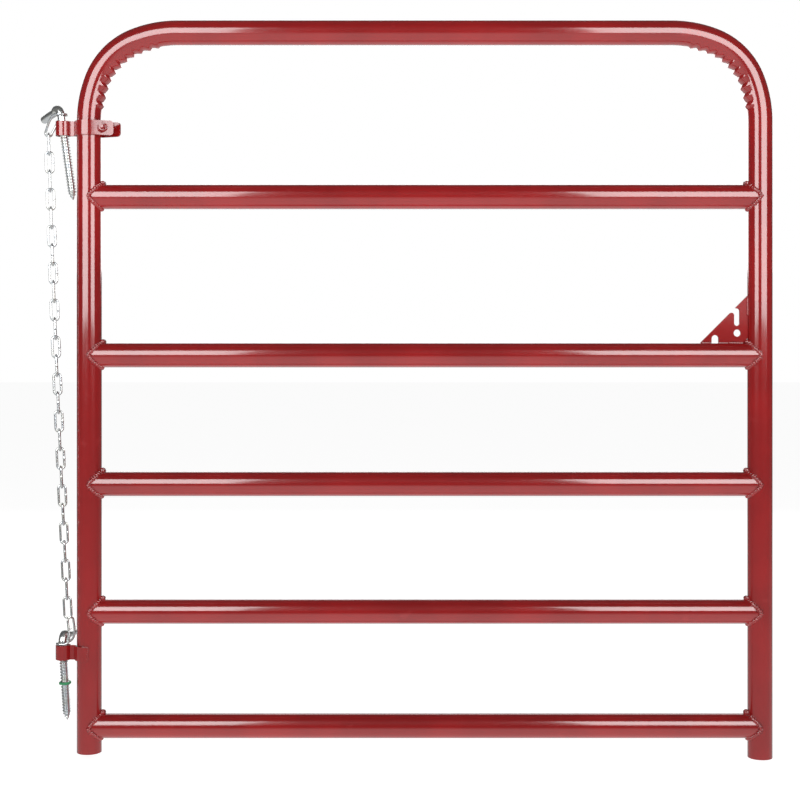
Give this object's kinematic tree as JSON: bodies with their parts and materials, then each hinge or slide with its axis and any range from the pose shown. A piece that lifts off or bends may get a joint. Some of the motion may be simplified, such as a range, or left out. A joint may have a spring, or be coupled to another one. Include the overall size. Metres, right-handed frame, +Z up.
{
  "type": "livestock panel gate",
  "caption": "Walk-through livestock panel gate: bent tube frame with welded rails, latch plate, eye hinges with lag-screw hooks and a hanging gate chain.",
  "frame": {"origin": "on the hinge line through the centres of both hinge eyes, level with the feet of the legs", "axes": "+X from the hinge side to the latch side, +Y from the front to the back, +Z up the hinge line"},
  "size_m": [1.2721, 0.0872, 1.27],
  "materials": {
    "red_paint": "glossy red powder coat",
    "zinc_plate": "bright zinc plate",
    "green_plastic": "moulded green plastic"
  },
  "bodies": {
    "gate": {"frame_tube": "red_paint", "rail_1": "red_paint", "rail_2": "red_paint", "rail_3": "red_paint", "rail_4": "red_paint", "rail_5": "red_paint", "latch_plate": "red_paint", "lower_hinge_strap": "red_paint"},
    "upper_hinge": {"upper_hinge_strap": "red_paint", "clamp_bolt": "red_paint", "clamp_nut": "red_paint"},
    "upper_lag": {"upper_lag_hook": "zinc_plate"},
    "lower_lag": {"lower_lag_hook": "zinc_plate"},
    "keeper": {"keeper_ring": "green_plastic"},
    "upper_loop": {"upper_end_link": "zinc_plate"},
    "lower_loop": {"lower_end_link": "zinc_plate"},
    "link_01": {"chain_link_01": "zinc_plate"},
    "link_02": {"chain_link_02": "zinc_plate"},
    "link_03": {"chain_link_03": "zinc_plate"},
    "link_04": {"chain_link_04": "zinc_plate"},
    "link_05": {"chain_link_05": "zinc_plate"},
    "link_06": {"chain_link_06": "zinc_plate"},
    "link_07": {"chain_link_07": "zinc_plate"},
    "link_08": {"chain_link_08": "zinc_plate"},
    "link_09": {"chain_link_09": "zinc_plate"},
    "link_10": {"chain_link_10": "zinc_plate"},
    "link_11": {"chain_link_11": "zinc_plate"},
    "link_12": {"chain_link_12": "zinc_plate"},
    "link_13": {"chain_link_13": "zinc_plate"},
    "link_14": {"chain_link_14": "zinc_plate"},
    "link_15": {"chain_link_15": "zinc_plate"},
    "link_16": {"chain_link_16": "zinc_plate"},
    "link_17": {"chain_link_17": "zinc_plate"},
    "link_18": {"chain_link_18": "zinc_plate"},
    "link_19": {"chain_link_19": "zinc_plate"},
    "link_20": {"chain_link_20": "zinc_plate"},
    "link_21": {"chain_link_21": "zinc_plate"},
    "link_22": {"chain_link_22": "zinc_plate"},
    "link_23": {"chain_link_23": "zinc_plate"},
    "link_24": {"chain_link_24": "zinc_plate"},
    "link_25": {"chain_link_25": "zinc_plate"},
    "link_26": {"chain_link_26": "zinc_plate"}
  },
  "joints": [
    {"name": "upper_hinge_turn", "type": "hinge", "parent": "gate", "child": "upper_hinge", "pos_m": [0.045, 0, 1.0833], "axis": [0, 0, 1], "range_deg": [0, 80]},
    {"name": "upper_lag_turn", "type": "hinge", "parent": "upper_hinge", "child": "upper_lag", "pos_m": [0, 0, 1.0833], "axis": [0, 0, 1], "range_deg": [-80, 0]},
    {"name": "lower_lag_turn", "type": "hinge", "parent": "gate", "child": "lower_lag", "pos_m": [0, 0, 0.181], "axis": [0, 0, 1], "range_deg": [0, 170]},
    {"name": "keeper_slide", "type": "slide", "parent": "lower_lag", "child": "keeper", "axis": [0.0628, 0, -0.998], "range_m": [-0.034, 0.04]},
    {"name": "upper_loop_turn", "type": "hinge", "parent": "upper_lag", "child": "upper_loop", "pos_m": [-0.00342, 0, 1.1076], "axis": [0, 0, 1], "range_deg": [-25, 0]},
    {"name": "lower_loop_turn", "type": "hinge", "parent": "lower_lag", "child": "lower_loop", "pos_m": [-0.00093, 0, 0.1958], "axis": [0, 0, 1], "range_deg": [0, 12]},
    {"name": "link_01_swing", "type": "hinge", "parent": "upper_loop", "child": "link_01", "pos_m": [-0.02763, 0.01127, 1.07235], "axis": [0.9842, 0.1746, 0.0312], "range_deg": [-30, 0]},
    {"name": "link_02_swing", "type": "hinge", "parent": "link_01", "child": "link_02", "pos_m": [-0.02646, 0.01042, 1.04038], "axis": [0.1725, -0.9845, 0.0326], "range_deg": [-40, 0]},
    {"name": "link_03_swing", "type": "hinge", "parent": "link_02", "child": "link_03", "pos_m": [-0.02527, 0.00957, 1.00842], "axis": [-0.9841, -0.1746, -0.0327], "range_deg": [0, 40]},
    {"name": "link_04_swing", "type": "hinge", "parent": "link_03", "child": "link_04", "pos_m": [-0.02406, 0.00872, 0.97645], "axis": [-0.1725, 0.9845, -0.0329], "range_deg": [0, 40]},
    {"name": "link_05_swing", "type": "hinge", "parent": "link_04", "child": "link_05", "pos_m": [-0.02281, 0.00787, 0.94449], "axis": [0.984, 0.1747, 0.0343], "range_deg": [-40, 0]},
    {"name": "link_06_swing", "type": "hinge", "parent": "link_05", "child": "link_06", "pos_m": [-0.02155, 0.00702, 0.91252], "axis": [0.1724, -0.9845, 0.0331], "range_deg": [-40, 0]},
    {"name": "link_07_swing", "type": "hinge", "parent": "link_06", "child": "link_07", "pos_m": [-0.02025, 0.00617, 0.88056], "axis": [-0.984, -0.1747, -0.0359], "range_deg": [0, 40]},
    {"name": "link_08_swing", "type": "hinge", "parent": "link_07", "child": "link_08", "pos_m": [-0.01894, 0.00532, 0.8486], "axis": [-0.1723, 0.9845, -0.0334], "range_deg": [0, 40]},
    {"name": "link_09_swing", "type": "hinge", "parent": "link_08", "child": "link_09", "pos_m": [-0.01759, 0.00447, 0.81664], "axis": [0.9839, 0.1748, 0.0375], "range_deg": [-40, 0]},
    {"name": "link_10_swing", "type": "hinge", "parent": "link_09", "child": "link_10", "pos_m": [-0.01622, 0.00362, 0.78468], "axis": [0.1723, -0.9845, 0.0337], "range_deg": [-40, 0]},
    {"name": "link_11_swing", "type": "hinge", "parent": "link_10", "child": "link_11", "pos_m": [-0.01483, 0.00277, 0.75272], "axis": [-0.9838, -0.1748, -0.039], "range_deg": [0, 40]},
    {"name": "link_12_swing", "type": "hinge", "parent": "link_11", "child": "link_12", "pos_m": [-0.01341, 0.00192, 0.72076], "axis": [-0.1722, 0.9845, -0.034], "range_deg": [0, 40]},
    {"name": "link_13_swing", "type": "hinge", "parent": "link_12", "child": "link_13", "pos_m": [-0.01196, 0.00107, 0.68881], "axis": [0.9838, 0.1749, 0.0406], "range_deg": [-40, 0]},
    {"name": "link_14_swing", "type": "hinge", "parent": "link_13", "child": "link_14", "pos_m": [-0.01049, 0.00022, 0.65685], "axis": [0.1721, -0.9845, 0.0342], "range_deg": [-40, 0]},
    {"name": "link_15_swing", "type": "hinge", "parent": "link_14", "child": "link_15", "pos_m": [-0.00899, -0.00063, 0.6249], "axis": [-0.9837, -0.1749, -0.0422], "range_deg": [0, 40]},
    {"name": "link_16_swing", "type": "hinge", "parent": "link_15", "child": "link_16", "pos_m": [-0.00747, -0.00148, 0.59295], "axis": [-0.1721, 0.9845, -0.0345], "range_deg": [0, 40]},
    {"name": "link_17_swing", "type": "hinge", "parent": "link_16", "child": "link_17", "pos_m": [-0.00592, -0.00233, 0.561], "axis": [0.9836, 0.175, 0.0438], "range_deg": [-40, 0]},
    {"name": "link_18_swing", "type": "hinge", "parent": "link_17", "child": "link_18", "pos_m": [-0.00435, -0.00318, 0.52905], "axis": [0.172, -0.9845, 0.0348], "range_deg": [-40, 0]},
    {"name": "link_19_swing", "type": "hinge", "parent": "link_18", "child": "link_19", "pos_m": [-0.00275, -0.00403, 0.4971], "axis": [-0.9835, -0.175, -0.0453], "range_deg": [0, 40]},
    {"name": "link_20_swing", "type": "hinge", "parent": "link_19", "child": "link_20", "pos_m": [-0.00112, -0.00488, 0.46515], "axis": [-0.1719, 0.9845, -0.0351], "range_deg": [0, 40]},
    {"name": "link_21_swing", "type": "hinge", "parent": "link_20", "child": "link_21", "pos_m": [0.00053, -0.00573, 0.43321], "axis": [0.9834, 0.1751, 0.0469], "range_deg": [-40, 0]},
    {"name": "link_22_swing", "type": "hinge", "parent": "link_21", "child": "link_22", "pos_m": [0.0022, -0.00658, 0.40126], "axis": [0.1719, -0.9845, 0.0353], "range_deg": [-40, 0]},
    {"name": "link_23_swing", "type": "hinge", "parent": "link_22", "child": "link_23", "pos_m": [0.00391, -0.00743, 0.36932], "axis": [-0.9833, -0.1751, -0.0485], "range_deg": [0, 40]},
    {"name": "link_24_swing", "type": "hinge", "parent": "link_23", "child": "link_24", "pos_m": [0.00564, -0.00828, 0.33737], "axis": [-0.1718, 0.9845, -0.0356], "range_deg": [0, 40]},
    {"name": "link_25_swing", "type": "hinge", "parent": "link_24", "child": "link_25", "pos_m": [0.00739, -0.00913, 0.30543], "axis": [0.9833, 0.1752, 0.05], "range_deg": [-40, 0]},
    {"name": "link_26_swing", "type": "hinge", "parent": "link_25", "child": "link_26", "pos_m": [0.00917, -0.00998, 0.27349], "axis": [0.1717, -0.9845, 0.0359], "range_deg": [-40, 0]}
  ]
}
